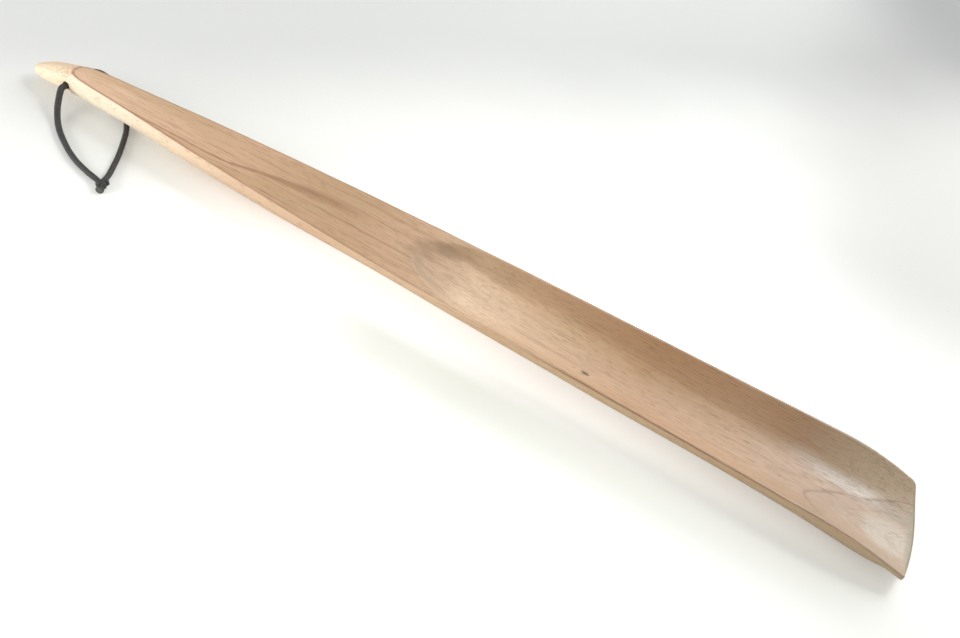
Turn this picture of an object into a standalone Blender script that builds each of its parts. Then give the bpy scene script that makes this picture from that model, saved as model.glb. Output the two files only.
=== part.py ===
"""A long wooden shoehorn with a leather hanging loop.

The horn is one board, sawn to a tapering outline, rounded underneath, and hollowed at its
broad end into a channel for the heel. A cord runs through a bore near the handle's nose, and
its two ends are tied together in one knot. The horn lies on its back, hollow side up. Its
length runs along X, from the nose at -X to the blade's edge at +X, and Z is 0 where it rests.
"""

import math

import bmesh
import bpy
import numpy as np
from mathutils import Vector

# The board that the horn is cut from, and the horn's outline seen from above
LENGTH = 0.343
BLADE_WIDTH = 0.0451
NOSE_WIDTH = 0.0100
BOARD_THICK = 0.012
FLARE_SHARES = (
    (0.0458, 0.0), (0.1003, 0.072), (0.1548, 0.185), (0.2093, 0.297), (0.2638, 0.395),
    (0.3233, 0.487), (0.3778, 0.564), (0.4324, 0.626), (0.4869, 0.682), (0.5414, 0.735),
    (0.6009, 0.779), (0.6504, 0.81), (0.7099, 0.846), (0.7644, 0.88), (0.819, 0.913),
    (0.8735, 0.949), (0.923, 0.978), (0.9676, 1.0), (1.0, 0.985),
)

# The rounded nose, which the upper face cuts into an arch as it falls a little towards it
NOSE_LENGTH = 0.0161
NOSE_HEIGHT = 0.0034
NOSE_BLUNTNESS = 2.3
NOSE_SIDE_POWER = 0.65
CROWN_LENGTH = 0.0174
CROWN_POWER = 0.58
CROWN_RUN_POWER = 0.85
NOSE_DROP = 0.0009
NOSE_DROP_LENGTH = 0.047

# The underside: lifted at the nose, over the cord, and at the waist. It rests on the middle
# of the handle and on the blade's belly.
LIFT_SHARES = (
    (0.0, 0.07), (0.055, 0.235), (0.1102, 0.25), (0.13, 0.237), (0.1548, 0.197), (0.1796, 0.145),
    (0.2093, 0.075), (0.2391, 0.025), (0.2787, 0.0), (0.3085, 0.03), (0.3382, 0.10),
    (0.3729, 0.205), (0.4026, 0.275), (0.4324, 0.285), (0.4621, 0.245), (0.5017, 0.19),
    (0.5612, 0.158), (0.6207, 0.145), (0.6802, 0.113), (0.7397, 0.12), (0.7892, 0.122),
    (0.8289, 0.093), (0.8685, 0.045), (0.9181, 0.0), (0.9429, 0.012), (0.9676, 0.085),
    (1.0, 0.16),
)
BACK_SQUARENESS_SHARES = (
    (0.0, 2.4), (0.0755, 2.8), (0.1251, 2.5), (0.1697, 2.1), (0.2143, 1.75), (0.2738, 1.6),
    (0.3332, 1.65), (0.4026, 1.75), (0.472, 1.83), (0.5612, 1.9), (0.7, 1.95),
    (0.7991, 1.95), (0.8784, 2.05), (0.928, 2.3), (0.9627, 2.25), (0.9795, 1.7), (1.0, 1.5),
)
UPPER_SQUARENESS = 2.8

# The side's fullest line, as a depth under the upper face
NOSE_SIDE_DEPTH = 0.0037
HANDLE_SIDE_DEPTH = 0.0028
RIM_SIDE_DEPTH = 0.0008
SIDE_SHARES = (
    (0.0, 0.0), (0.0458, 0.0), (0.1647, 1.0), (0.3431, 1.0), (0.5612, 2.0), (1.0, 2.0),
)

# The blade's edge, seen from above and from the side
TIP_BULGE = 0.003
TIP_BULGE_LENGTH = 0.045
TIP_CORNER = 0.0018
FAR_TIP_CORNER = 0.0032
TIP_DROP = 0.006
TIP_DROP_LENGTH = 0.033
TIP_DROP_POWER = 1.8
TIP_EDGE = 0.0012
TIP_THINNING_LENGTH = 0.040

# The channel for the heel
CHANNEL_LENGTH = 0.1909
CHANNEL_DEPTH = 0.0088
CHANNEL_MOUTH = 0.026
CHANNEL_ROUNDNESS = 2.3
RIM_WALL = 0.0010
TIP_RIM_WALL = 0.0008
DEPTH_SHARES = (
    (0.0, 0.0), (0.03, 0.10), (0.07, 0.225), (0.12, 0.35), (0.19, 0.485), (0.29, 0.625),
    (0.42, 0.745), (0.55, 0.85), (0.68, 0.94), (0.79, 1.0), (1.0, 1.0),
)

# The bore across the nose, and the cord through it
BORE_CLEARANCE = 0.0008
BORE_SETBACK = 0.0161
BORE_DEPTH = 0.0053
CORD_DIAMETER = 0.0023
CORD_POINT_PITCH = 0.0048
END_GAP = 0.0003
BORE_STRETCH = 0.0060
BORE_DIAMETER = CORD_DIAMETER + BORE_CLEARANCE

# The cord's route, from each mouth of the bore to the knot: along the horn from its nose,
# across it, and up from the surface that it lies on
NEAR_ROUTE = (
    (0.0161, -0.0033, 0.0067), (0.0161, -0.0052, 0.0067), (0.0161, -0.0071, 0.0066),
    (0.0168, -0.0088, 0.0060), (0.0177, -0.0105, 0.0049), (0.0190, -0.0127, 0.0035),
    (0.0210, -0.0153, 0.0022), (0.0236, -0.0182, 0.0014), (0.0269, -0.0213, 0.0012),
    (0.0307, -0.0242, 0.0012), (0.0348, -0.0270, 0.0012), (0.0392, -0.0294, 0.0012),
    (0.0430, -0.0309, 0.0012), (0.0464, -0.0320, 0.0013), (0.0490, -0.0327, 0.0014),
    (0.0510, -0.0334, 0.0017), (0.0527, -0.0343, 0.0019),
)
FAR_ROUTE = (
    (0.0161, 0.0033, 0.0067), (0.0161, 0.0052, 0.0067), (0.0165, 0.0071, 0.0068),
    (0.0176, 0.0090, 0.0067), (0.0194, 0.0105, 0.0062), (0.0217, 0.0112, 0.0052),
    (0.0244, 0.0109, 0.0039), (0.0272, 0.0095, 0.0027), (0.0298, 0.0074, 0.0018),
    (0.0324, 0.0050, 0.0013), (0.0350, 0.0027, 0.0012), (0.0376, 0.0005, 0.0012),
    (0.0399, -0.0022, 0.0012), (0.0421, -0.0056, 0.0012), (0.0440, -0.0092, 0.0012),
    (0.0459, -0.0131, 0.0012), (0.0476, -0.0168, 0.0012), (0.0492, -0.0207, 0.0012),
    (0.0506, -0.0244, 0.0012), (0.0519, -0.0280, 0.0013), (0.0527, -0.0308, 0.0016),
    (0.0531, -0.0328, 0.0019),
)

# The knot and the two cut ends that stand out of it
KNOT_LENGTH = 0.0040
KNOT_WIDTH = 0.0034
KNOT_HEIGHT = 0.0034
KNOT_GROOVE = 0.00030
KNOT_TURNS = 3
KNOT_TILT = 0.25
KNOT_FALL = math.radians(-70)
KNOT_SETBACK = 0.0008
NEAR_TAIL_LENGTH = 0.0010
FAR_TAIL_LENGTH = 0.0006
NEAR_TAIL_WAY = (0.35, -0.94, 0.0)
FAR_TAIL_WAY = (0.74, 0.58, 0.35)
TRIM_STEP = 0.00005

# How finely round forms are cut
BACK_STEPS = 22
NOSE_RINGS = 9
BODY_RING_PITCH = 0.0075
CHANNEL_STEPS = 20
CHANNEL_RING_PITCH = 0.0080
CORNER_RINGS = 5
BORE_SIDES = 24
CORD_RESOLUTION = 2
ROUTE_STEPS = 16
KNOT_SEGMENTS = 24
KNOT_RINGS = 16
SIDE_CROWDING = 0.34
SMOOTH_ANGLE = math.radians(35)
OVERRUN = 0.004

HALF_LENGTH = LENGTH / 2
NOSE_X = -HALF_LENGTH
BORE_X = NOSE_X + BORE_SETBACK
BORE_Z = BOARD_THICK - BORE_DEPTH


def clear_scene():
    for thing in list(bpy.data.objects):
        bpy.data.objects.remove(thing, do_unlink=True)


def read_curve(rows, at):
    """The height of a smooth curve through rows of (place, value), at one place."""
    places = [row[0] for row in rows]
    values = [row[1] for row in rows]
    if at <= places[0]:
        return values[0]
    if at >= places[-1]:
        return values[-1]
    last = len(rows) - 1
    k = max(i for i in range(last) if places[i] <= at)

    def slope(i):
        a, b = max(i - 1, 0), min(i + 1, last)
        return (values[b] - values[a]) / (places[b] - places[a])

    span = places[k + 1] - places[k]
    t = (at - places[k]) / span
    rise = t * t * (3 - 2 * t)
    return (
        values[k] * (1 - rise)
        + values[k + 1] * rise
        + span * slope(k) * t * (1 - t) ** 2
        - span * slope(k + 1) * t * t * (1 - t)
    )


def ease(t):
    """A smooth step from 0 to 1."""
    t = min(max(t, 0.0), 1.0)
    return t * t * (3 - 2 * t)


def bluntness(x):
    """The nose's rounding, from 0 at its point to 1 where the sides run on."""
    left = max(1 - x / NOSE_LENGTH, 0.0)
    return (1 - left**NOSE_BLUNTNESS) ** (1 / NOSE_BLUNTNESS)


def half_width(x, corner=TIP_CORNER):
    """Half the horn's width, at x from its nose, with one blade corner's rounding."""
    nose, blade = NOSE_WIDTH / 2, BLADE_WIDTH / 2
    width = nose + (blade - nose) * read_curve(FLARE_SHARES, x / LENGTH)
    past = max(x - (LENGTH - corner), 0.0)
    rounding = corner - math.sqrt(max(corner**2 - past**2, 0.0))
    return width * bluntness(x) - rounding


def rim_height(x):
    """The height of the upper face, which falls a little at the nose, and at the blade."""
    before = max(NOSE_DROP_LENGTH - max(x, 0.0), 0.0) / NOSE_DROP_LENGTH
    past = max(x - (LENGTH - TIP_DROP_LENGTH), 0.0) / TIP_DROP_LENGTH
    return BOARD_THICK - NOSE_DROP * before**2 - TIP_DROP * past**TIP_DROP_POWER


def back_height(x):
    """The height of the underside on the centre line."""
    height = BOARD_THICK * max(read_curve(LIFT_SHARES, x / LENGTH), 0)
    return NOSE_HEIGHT + (height - NOSE_HEIGHT) * bluntness(x)


def crown_height(x):
    """The height that the round upper side would have, were it not cut flat."""
    power = CROWN_POWER if x < CROWN_LENGTH else CROWN_RUN_POWER
    return NOSE_HEIGHT + (BOARD_THICK - NOSE_HEIGHT) * (x / CROWN_LENGTH) ** power


def side_height(x):
    """The height of the line where the section is widest."""
    step = read_curve(SIDE_SHARES, x / LENGTH)
    handle_share = min(step, 1.0)
    rim_share = max(step - 1.0, 0.0)
    depth = NOSE_SIDE_DEPTH + (HANDLE_SIDE_DEPTH - NOSE_SIDE_DEPTH) * handle_share
    depth += (RIM_SIDE_DEPTH - HANDLE_SIDE_DEPTH) * rim_share
    level = rim_height(x) - depth
    rise = min(x / NOSE_LENGTH, 1.0) ** NOSE_SIDE_POWER
    return NOSE_HEIGHT + (level - NOSE_HEIGHT) * rise


def bulge(x, across_share):
    """How far the blade's rounded edge draws back a point, towards the sides."""
    along = ease((x - (LENGTH - TIP_BULGE_LENGTH)) / TIP_BULGE_LENGTH)
    return TIP_BULGE * along * across_share**2


def body_stations():
    nose = [
        NOSE_LENGTH * (1 - math.cos(math.pi / 2 * j / NOSE_RINGS))
        for j in range(1, NOSE_RINGS + 1)
    ]
    corner_start = LENGTH - FAR_TIP_CORNER
    count = math.ceil((corner_start - NOSE_LENGTH) / BODY_RING_PITCH)
    middle = list(np.linspace(NOSE_LENGTH, corner_start, count + 1)[1:])
    corner = [
        corner_start + FAR_TIP_CORNER * math.sin(math.pi / 2 * j / CORNER_RINGS)
        for j in range(1, CORNER_RINGS + 1)
    ]
    return nose + middle + corner


def across_shares():
    """Places across the section, from one side to the other, closer at the sides."""
    places = []
    for j in range(BACK_STEPS + 1):
        t = j / BACK_STEPS
        turn = math.pi * t - SIDE_CROWDING * math.sin(2 * math.pi * t)
        places.append(-math.cos(turn))
    return places


def body_ring(x):
    """The uncut section at x: the underside from -Y to +Y, then the upper side back."""
    near_width, level = half_width(x), side_height(x)
    far_width = half_width(x, FAR_TIP_CORNER)
    depth = level - back_height(x)
    crown = crown_height(x) - level
    squareness = read_curve(BACK_SQUARENESS_SHARES, x / LENGTH)
    shares = across_shares()
    ring = []
    for share in shares:
        drop = depth * (1 - abs(share) ** squareness) ** (1 / squareness)
        width = far_width if share > 0 else near_width
        ring.append((NOSE_X + x - bulge(x, share), width * share, level - drop))
    for share in reversed(shares[1:-1]):
        rise = crown * (1 - abs(share) ** UPPER_SQUARENESS) ** (1 / UPPER_SQUARENESS)
        width = far_width if share > 0 else near_width
        ring.append((NOSE_X + x - bulge(x, share), width * share, level + rise))
    return ring


def new_object(name, mesh):
    thing = bpy.data.objects.new(name, mesh)
    bpy.context.scene.collection.objects.link(thing)
    return thing


def bridge(mesh, first, second):
    count = len(first)
    for j in range(count):
        k = (j + 1) % count
        mesh.faces.new((first[j], first[k], second[k], second[j]))


def cap_across(mesh, ring, steps):
    """Closes a ring whose two sides have their points at the same places across."""
    for j in range(steps):
        low_a, low_b = ring[j], ring[j + 1]
        high_a, high_b = ring[-j % len(ring)], ring[-(j + 1)]
        corners = []
        for corner in (low_a, low_b, high_b, high_a):
            if corner not in corners:
                corners.append(corner)
        mesh.faces.new(corners)


def finished_mesh(mesh, name):
    bmesh.ops.recalc_face_normals(mesh, faces=mesh.faces)
    data = bpy.data.meshes.new(name)
    mesh.to_mesh(data)
    mesh.free()
    return data


def hide_cutter(cutter):
    cutter.hide_render = True
    cutter.display_type = "WIRE"


def cut(thing, cutter):
    modifier = thing.modifiers.new(cutter.name, "BOOLEAN")
    modifier.operation = "DIFFERENCE"
    modifier.solver = "EXACT"
    modifier.object = cutter
    hide_cutter(cutter)


def make_blank():
    """The rounded blank, from the nose's point to the blade's edge."""
    mesh = bmesh.new()
    rings = [[mesh.verts.new(p) for p in body_ring(x)] for x in body_stations()]
    point = mesh.verts.new((NOSE_X, 0, NOSE_HEIGHT))
    count = len(rings[0])
    for j in range(count):
        mesh.faces.new((point, rings[0][(j + 1) % count], rings[0][j]))
    for first, second in zip(rings, rings[1:]):
        bridge(mesh, first, second)
    cap_across(mesh, rings[-1], BACK_STEPS)
    return new_object("horn_body", finished_mesh(mesh, "horn_body"))


def make_face_cutter():
    """A slab over the flat upper face, down to the rim's falling end."""
    top = max(crown_height(LENGTH), BOARD_THICK) + OVERRUN
    start, end = -OVERRUN, LENGTH + OVERRUN
    drop_start = LENGTH - TIP_DROP_LENGTH
    count = math.ceil((end - drop_start) / OVERRUN)
    lower = [start, *np.linspace(0, NOSE_DROP_LENGTH, count)]
    lower += list(np.linspace(drop_start, end, 2 * count))
    outline = [(NOSE_X + x, rim_height(x)) for x in lower]
    outline += [(NOSE_X + end, top), (NOSE_X + start, top)]
    reach = BLADE_WIDTH / 2 + OVERRUN
    mesh = bmesh.new()
    sides = [[mesh.verts.new((x, y, z)) for x, z in outline] for y in (-reach, reach)]
    bridge(mesh, *sides)
    mesh.faces.new(sides[0])
    mesh.faces.new(sides[1])
    return new_object("face_cutter", finished_mesh(mesh, "face_cutter"))


def channel_floor(x):
    """The height of the channel's floor on the centre line, at x from the nose."""
    along = (x - (LENGTH - CHANNEL_LENGTH)) / CHANNEL_LENGTH
    floor = BOARD_THICK - CHANNEL_DEPTH * read_curve(DEPTH_SHARES, along)
    tip_share = max(x - (LENGTH - TIP_THINNING_LENGTH), 0.0) / TIP_THINNING_LENGTH
    edge = back_height(LENGTH) + TIP_EDGE
    return floor + (edge - floor) * min(tip_share, 1.0) ** 2


def channel_half_width(x):
    """Half the channel's width at the upper face."""
    start = LENGTH - CHANNEL_LENGTH
    wall = RIM_WALL + (TIP_RIM_WALL - RIM_WALL) * ease((x - start) / CHANNEL_LENGTH)
    width = half_width(min(x, LENGTH - TIP_CORNER)) - wall
    into = (x - start) / CHANNEL_MOUTH
    if into < 1:
        width *= math.sqrt(1 - (1 - into) ** 2)
    return width


def channel_ring(x):
    """The channel cutter's section: up past the upper face, so that it cuts clean edges."""
    rim, floor, width = rim_height(min(x, LENGTH)), channel_floor(x), channel_half_width(x)
    over = 1 + OVERRUN / BLADE_WIDTH
    ring = []
    for j in range(CHANNEL_STEPS + 1):
        share = -over * math.cos(math.pi * j / CHANNEL_STEPS)
        height = floor + (rim - floor) * abs(share) ** CHANNEL_ROUNDNESS
        ring.append((NOSE_X + x, width * share, height))
    lid = max(point[2] for point in ring) + OVERRUN
    ring += [(NOSE_X + x, -point[1], lid) for point in ring[1:-1]]
    return ring


def make_channel_cutter():
    start = LENGTH - CHANNEL_LENGTH
    mouth = [
        start + CHANNEL_MOUTH * (1 - math.cos(math.pi / 2 * j / NOSE_RINGS))
        for j in range(1, NOSE_RINGS + 1)
    ]
    end = LENGTH + OVERRUN
    count = math.ceil((end - mouth[-1]) / CHANNEL_RING_PITCH)
    stations = mouth + list(np.linspace(mouth[-1], end, count + 1)[1:])
    mesh = bmesh.new()
    rings = [[mesh.verts.new(p) for p in channel_ring(x)] for x in stations]
    for first, second in zip(rings, rings[1:]):
        bridge(mesh, first, second)
    cap_across(mesh, rings[0], CHANNEL_STEPS)
    cap_across(mesh, rings[-1], CHANNEL_STEPS)
    return new_object("channel_cutter", finished_mesh(mesh, "channel_cutter"))


def make_bore_cutter():
    mesh = bmesh.new()
    reach = NOSE_WIDTH + OVERRUN
    bmesh.ops.create_cone(
        mesh,
        cap_ends=True,
        segments=BORE_SIDES,
        radius1=BORE_DIAMETER / 2,
        radius2=BORE_DIAMETER / 2,
        depth=reach,
    )
    cutter = new_object("bore_cutter", finished_mesh(mesh, "bore_cutter"))
    cutter.location = (BORE_X, 0, BORE_Z)
    cutter.rotation_euler = (math.pi / 2, 0, 0)
    return cutter


def wood():
    material = bpy.data.materials.new("wood")
    material.use_nodes = True
    shader = material.node_tree.nodes["Principled BSDF"]
    shader.inputs["Base Color"].default_value = (0.47, 0.29, 0.17, 1)
    shader.inputs["Roughness"].default_value = 0.5
    shader.inputs["Metallic"].default_value = 0.0
    return material


def leather():
    material = bpy.data.materials.new("cord_leather")
    material.use_nodes = True
    shader = material.node_tree.nodes["Principled BSDF"]
    shader.inputs["Base Color"].default_value = (0.045, 0.045, 0.048, 1)
    shader.inputs["Roughness"].default_value = 0.65
    shader.inputs["Metallic"].default_value = 0.0
    return material


def make_horn(material):
    horn = make_blank()
    horn.data.materials.append(material)
    for cutter in (make_face_cutter(), make_channel_cutter(), make_bore_cutter()):
        cut(horn, cutter)
    horn.data.shade_smooth()
    horn.data.set_sharp_from_angle(angle=SMOOTH_ANGLE)
    return horn


def smooth_route(route):
    """Points at an even pitch on a smooth curve through a cord's route."""
    places = [Vector((NOSE_X + x, y, z)) for x, y, z in route]
    padded = [places[0] * 2 - places[1], *places, places[-1] * 2 - places[-2]]
    fine = []
    for a, b, c, d in zip(padded, padded[1:], padded[2:], padded[3:]):
        for j in range(ROUTE_STEPS):
            t = j / ROUTE_STEPS
            fine.append(
                (
                    b * 2
                    + (c - a) * t
                    + (a * 2 - b * 5 + c * 4 - d) * t**2
                    + (b * 3 - a - c * 3 + d) * t**3
                )
                / 2
            )
    fine.append(places[-1])
    travelled = [0.0]
    for a, b in zip(fine, fine[1:]):
        travelled.append(travelled[-1] + (b - a).length)
    count = max(math.ceil(travelled[-1] / CORD_POINT_PITCH), 2)
    stops = np.linspace(0, travelled[-1], count + 1)
    columns = [np.interp(stops, travelled, [point[i] for point in fine]) for i in range(3)]
    return [Vector(point) for point in zip(*columns)]


def cord_length(points):
    return sum((b - a).length for a, b in zip(points, points[1:]))


def make_tube(name, points, material):
    curve = bpy.data.curves.new(name, "CURVE")
    curve.dimensions = "3D"
    curve.bevel_depth = CORD_DIAMETER / 2
    curve.bevel_resolution = CORD_RESOLUTION
    curve.use_fill_caps = True
    spline = curve.splines.new("POLY")
    spline.points.add(len(points) - 1)
    for stop, point in zip(spline.points, points):
        stop.co = (*point, 1)
    curve.materials.append(material)
    return new_object(name, curve)


def knot_centre():
    """Just past the meeting of the two strands, resting on the surface."""
    meeting = (Vector(NEAR_ROUTE[-1]) + Vector(FAR_ROUTE[-1])) / 2
    near_way = (Vector(NEAR_ROUTE[-1]) - Vector(NEAR_ROUTE[-2])).normalized()
    far_way = (Vector(FAR_ROUTE[-1]) - Vector(FAR_ROUTE[-2])).normalized()
    way = near_way + far_way
    way.z = 0
    centre = meeting + way.normalized() * KNOT_SETBACK
    return Vector((NOSE_X + centre.x, centre.y, KNOT_HEIGHT / 2))


def knot_reach(direction):
    """The knot's radius in a direction, without its grooves."""
    turned = direction.copy()
    spin = -KNOT_FALL
    turned.x = direction.x * math.cos(spin) - direction.y * math.sin(spin)
    turned.y = direction.x * math.sin(spin) + direction.y * math.cos(spin)
    halves = (KNOT_LENGTH / 2, KNOT_WIDTH / 2, KNOT_HEIGHT / 2)
    return 1 / math.sqrt(sum((turned[i] / halves[i]) ** 2 for i in range(3)))


def make_knot(material):
    """One lump, grooved where the turns of cord lie against each other."""
    mesh = bmesh.new()
    radius = KNOT_WIDTH / 2
    bmesh.ops.create_uvsphere(
        mesh, u_segments=KNOT_SEGMENTS, v_segments=KNOT_RINGS, radius=radius
    )
    for vert in mesh.verts:
        place = vert.co / radius
        phase = math.pi / 2 * KNOT_TURNS * (place.x + KNOT_TILT * place.y)
        groove = (1 - abs(math.sin(phase))) ** 2 * (1 - place.x**2)
        vert.co = place * (radius - groove * KNOT_GROOVE)
        vert.co.x *= KNOT_LENGTH / KNOT_WIDTH
        vert.co.z *= KNOT_HEIGHT / KNOT_WIDTH
    knot = new_object("cord_knot", finished_mesh(mesh, "cord_knot"))
    knot.location = knot_centre()
    knot.rotation_euler = (0, 0, KNOT_FALL)
    knot.data.materials.append(material)
    knot.data.shade_smooth()
    return knot


def trimmed(points, centre):
    """Points of a strand, ended where its flat end stands one gap off the knot."""
    kept = list(points)
    while len(kept) > 2 and end_stands_in_knot(kept[-2], kept[-1] - kept[-2], centre):
        kept.pop()
    way = (kept[-1] - kept[-2]).normalized()
    while end_stands_in_knot(kept[-1], way, centre):
        kept[-1] = kept[-1] - way * TRIM_STEP
    return kept


def end_stands_in_knot(point, way, centre):
    """Whether a cord's flat end, centred on a point, is nearer to the knot than the gap."""
    side = way.orthogonal().normalized() * CORD_DIAMETER / 2
    across = way.normalized().cross(side)
    places = (point, point + side, point - side, point + across, point - across)
    for away in (place - centre for place in places):
        if away.length < knot_reach(away.normalized()) + END_GAP:
            return True
    return False


def tail_points(direction, length, centre):
    way = Vector(direction).normalized()
    start = Vector((centre.x, centre.y, CORD_DIAMETER / 2 + TRIM_STEP))
    while end_stands_in_knot(start, way, centre):
        start = start + way * TRIM_STEP
    return [start, start + way * (length / 2), start + way * length]


def make_cord(material):
    centre = knot_centre()
    near = trimmed(smooth_route(NEAR_ROUTE), centre)
    far = trimmed(smooth_route(FAR_ROUTE), centre)
    make_tube("cord_near_strand", near, material)
    make_tube("cord_far_strand", far, material)
    reach = BORE_STRETCH / 2
    inside = [Vector((BORE_X, y, BORE_Z)) for y in (-reach, 0, reach)]
    make_tube("cord_bore_stretch", inside, material)
    near_tail = tail_points(NEAR_TAIL_WAY, NEAR_TAIL_LENGTH, centre)
    far_tail = tail_points(FAR_TAIL_WAY, FAR_TAIL_LENGTH, centre)
    make_tube("cord_tail_near", near_tail, material)
    make_tube("cord_tail_far", far_tail, material)
    make_knot(material)
    whole = cord_length(near) + cord_length(far) + BORE_STRETCH
    print(f"cord: near {cord_length(near):.4f} far {cord_length(far):.4f} loop {whole:.4f}")


clear_scene()
make_horn(wood())
make_cord(leather())
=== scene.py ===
import math

import bmesh
import bpy
import numpy as np
from mathutils import Matrix, Vector, noise


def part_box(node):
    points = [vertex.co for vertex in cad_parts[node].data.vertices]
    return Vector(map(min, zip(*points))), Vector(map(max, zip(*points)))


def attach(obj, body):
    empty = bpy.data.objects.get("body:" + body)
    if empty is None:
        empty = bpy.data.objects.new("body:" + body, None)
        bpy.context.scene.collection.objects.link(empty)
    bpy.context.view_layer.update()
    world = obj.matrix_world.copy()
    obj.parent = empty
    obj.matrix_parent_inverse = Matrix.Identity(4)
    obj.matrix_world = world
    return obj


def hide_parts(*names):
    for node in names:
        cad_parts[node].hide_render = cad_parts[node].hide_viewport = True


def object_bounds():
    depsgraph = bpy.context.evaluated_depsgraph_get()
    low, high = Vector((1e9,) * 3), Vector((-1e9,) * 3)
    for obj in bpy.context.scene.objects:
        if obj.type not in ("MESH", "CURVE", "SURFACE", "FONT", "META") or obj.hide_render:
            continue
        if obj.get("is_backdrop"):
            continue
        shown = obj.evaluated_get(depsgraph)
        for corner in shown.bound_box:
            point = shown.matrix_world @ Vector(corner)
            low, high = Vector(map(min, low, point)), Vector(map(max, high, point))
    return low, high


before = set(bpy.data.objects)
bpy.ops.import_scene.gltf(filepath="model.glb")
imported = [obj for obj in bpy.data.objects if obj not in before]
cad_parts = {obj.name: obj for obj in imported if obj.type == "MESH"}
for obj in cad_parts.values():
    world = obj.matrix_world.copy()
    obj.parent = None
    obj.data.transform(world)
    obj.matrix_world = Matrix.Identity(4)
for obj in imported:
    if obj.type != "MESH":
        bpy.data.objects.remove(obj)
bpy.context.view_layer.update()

# Camera
# It looks down at the horn from in front and a little to the right, with the nose far left
# and the blade near right.
camera_data = bpy.data.cameras.new("camera")
camera_data.sensor_width = 36
camera_data.lens = 41.25
camera_data.clip_start = 0.01
camera = bpy.data.objects.new("camera", camera_data)
bpy.context.scene.collection.objects.link(camera)
camera_right = Vector((0.8756, 0.38251, 0.29496))
camera_up = Vector((-0.47283, 0.55394, 0.68526))
camera_back = Vector((0.09873, -0.73948, 0.6659))
camera_turn = Matrix((camera_right, camera_up, camera_back)).transposed().to_4x4()
camera.matrix_world = Matrix.Translation((0.04857, -0.27998, 0.25023)) @ camera_turn
bpy.context.scene.camera = camera

# Cord strands
# One round lace leaves both mouths of the bore, and both ends run to the knot. Each strand is
# a tube along the route of its solid, a little uneven, as cut and rolled leather is.
LACE = 0.0023
NOSE_X = -0.1715
BORE_SETBACK = 0.0161
BORE_HEIGHT = 0.0067
LACE_IN_BORE = 0.0064
ROUTE_PITCH = 0.0007
near_route = (
    (0.0161, -0.0033, 0.0067), (0.0161, -0.0052, 0.0067), (0.0161, -0.0071, 0.0066),
    (0.0168, -0.0088, 0.0060), (0.0177, -0.0105, 0.0049), (0.0190, -0.0127, 0.0035),
    (0.0210, -0.0153, 0.0022), (0.0236, -0.0182, 0.0014), (0.0269, -0.0213, 0.0012),
    (0.0307, -0.0242, 0.0012), (0.0348, -0.0270, 0.0012), (0.0392, -0.0294, 0.0012),
    (0.0430, -0.0309, 0.0012), (0.0464, -0.0320, 0.0013), (0.0490, -0.0327, 0.0014),
    (0.0510, -0.0334, 0.0017), (0.0527, -0.0343, 0.0019),
)
far_route = (
    (0.0161, 0.0033, 0.0067), (0.0161, 0.0052, 0.0067), (0.0165, 0.0071, 0.0068),
    (0.0176, 0.0090, 0.0067), (0.0194, 0.0105, 0.0062), (0.0217, 0.0112, 0.0052),
    (0.0244, 0.0109, 0.0039), (0.0272, 0.0095, 0.0027), (0.0298, 0.0074, 0.0018),
    (0.0324, 0.0050, 0.0013), (0.0350, 0.0027, 0.0012), (0.0376, 0.0005, 0.0012),
    (0.0399, -0.0022, 0.0012), (0.0421, -0.0056, 0.0012), (0.0440, -0.0092, 0.0012),
    (0.0459, -0.0131, 0.0012), (0.0476, -0.0168, 0.0012), (0.0492, -0.0207, 0.0012),
    (0.0506, -0.0244, 0.0012), (0.0519, -0.0280, 0.0013), (0.0527, -0.0308, 0.0016),
    (0.0531, -0.0328, 0.0019),
)


def link(name, data):
    thing = bpy.data.objects.new(name, data)
    bpy.context.scene.collection.objects.link(thing)
    return thing


def smooth_path(places, pitch):
    """Points at an even pitch on a smooth curve through the places."""
    padded = [places[0] * 2 - places[1], *places, places[-1] * 2 - places[-2]]
    per_stretch = 24
    fine = []
    for a, b, c, d in zip(padded, padded[1:], padded[2:], padded[3:]):
        for j in range(per_stretch):
            t = j / per_stretch
            fine.append(
                (
                    b * 2
                    + (c - a) * t
                    + (a * 2 - b * 5 + c * 4 - d) * t**2
                    + (b * 3 - a - c * 3 + d) * t**3
                )
                / 2
            )
    fine.append(places[-1])
    travelled = [0.0]
    for a, b in zip(fine, fine[1:]):
        travelled.append(travelled[-1] + (b - a).length)
    stops = np.linspace(0, travelled[-1], max(math.ceil(travelled[-1] / pitch), 2) + 1)
    columns = [np.interp(stops, travelled, [p[i] for p in fine]) for i in range(3)]
    return [Vector(p) for p in zip(*columns)]


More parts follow.
